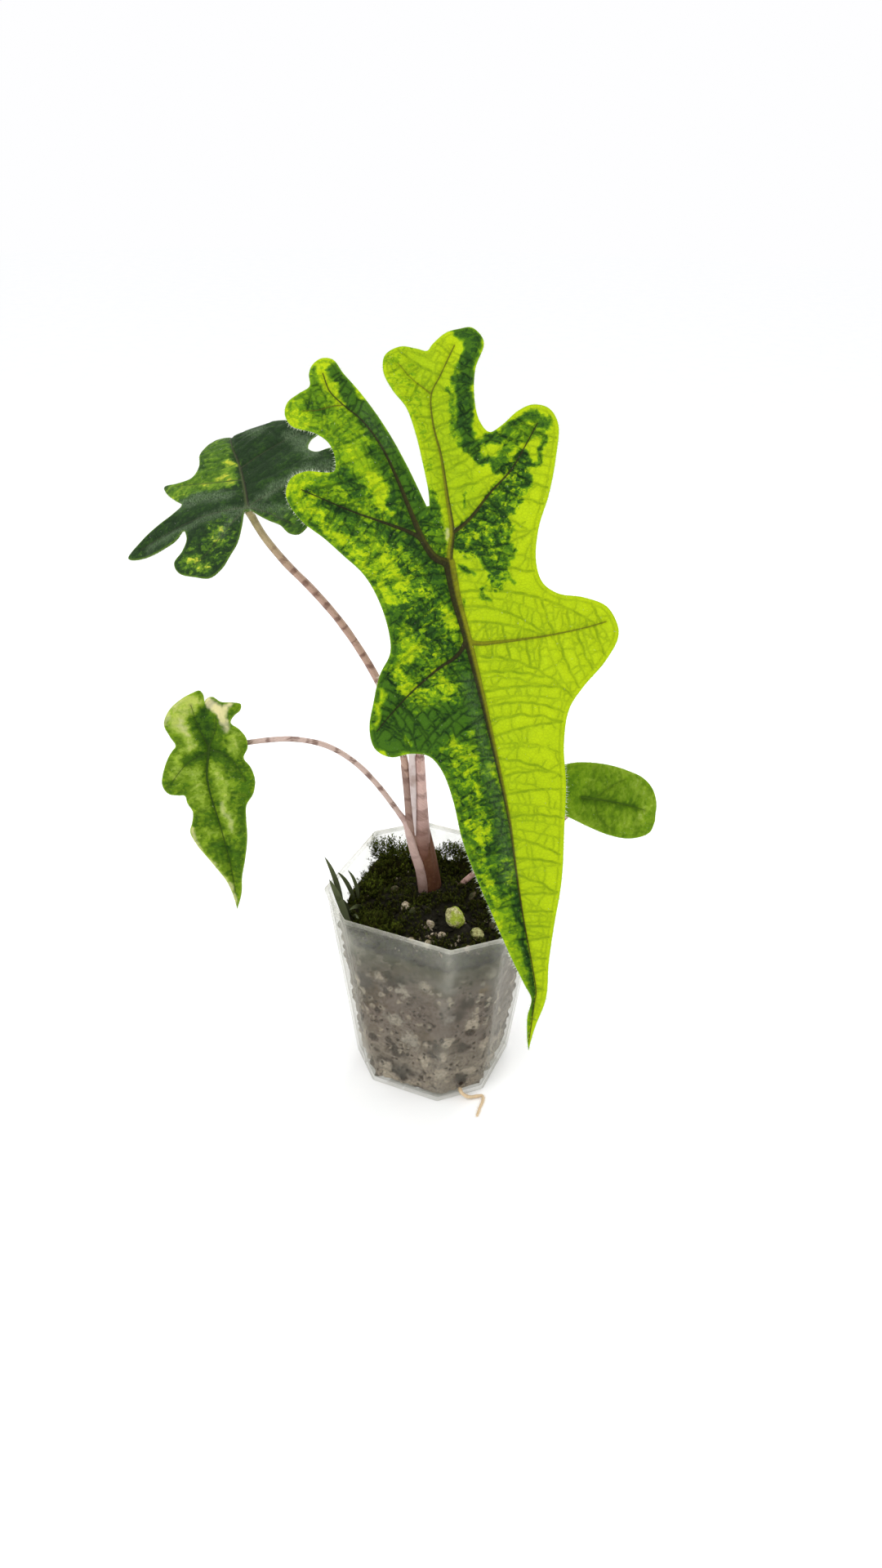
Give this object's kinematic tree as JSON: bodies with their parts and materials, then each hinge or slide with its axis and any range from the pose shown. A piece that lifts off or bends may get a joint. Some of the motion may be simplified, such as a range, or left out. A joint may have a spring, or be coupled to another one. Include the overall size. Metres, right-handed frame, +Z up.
{
  "type": "potted alocasia",
  "caption": "Young potted alocasia: lobed, variegated leaves on slim stalks in a clear, tapered square nursery pot with moss and pale grains.",
  "frame": {"origin": "centre of the pot's underside", "axes": "+Z up, the plant's face towards -Y, +X to the viewer's right"},
  "size_m": [0.1797, 0.179, 0.2688],
  "materials": {
    "pot": "clear frosted soft plastic, dulled by condensation",
    "soil": "damp, crumbly, dark bark and peat mix",
    "moss": "dark olive, soft and leafy",
    "pumice": "rough, pale beige",
    "green_lump": "rough, green with algae",
    "stem": "pinkish brown, mottled, slightly glossy",
    "petiole": "pinkish brown with fine dark bands",
    "leaf_main": "lime with dark green marbling, softly hairy",
    "leaf_back": "dark green, softly hairy, with silvery sheen",
    "leaf_low": "mid green with a cream patch, satin",
    "leaf_oval": "green, satin",
    "root": "tan, fibrous"
  },
  "bodies": {
    "root": {"pot": "pot", "soil": "soil", "moss_back_left": "moss", "moss_left": "moss", "moss_back": "moss", "moss_back_right": "moss", "moss_right": "moss", "moss_front_left": "moss", "pumice_01": "pumice", "pumice_02": "pumice", "pumice_03": "pumice", "pumice_04": "pumice", "pumice_05": "pumice", "pumice_06": "pumice", "pumice_07": "pumice", "pumice_08": "pumice", "pumice_09": "pumice", "pumice_10": "pumice", "green_lump_large": "green_lump", "green_lump_small": "green_lump", "stem_base": "stem", "petiole_main": "petiole", "petiole_back": "petiole", "petiole_low": "petiole", "petiole_oval": "petiole", "leaf_main": "leaf_main", "leaf_back": "leaf_back", "leaf_low": "leaf_low", "leaf_oval": "leaf_oval", "root_tip": "root"}
  },
  "joints": []
}
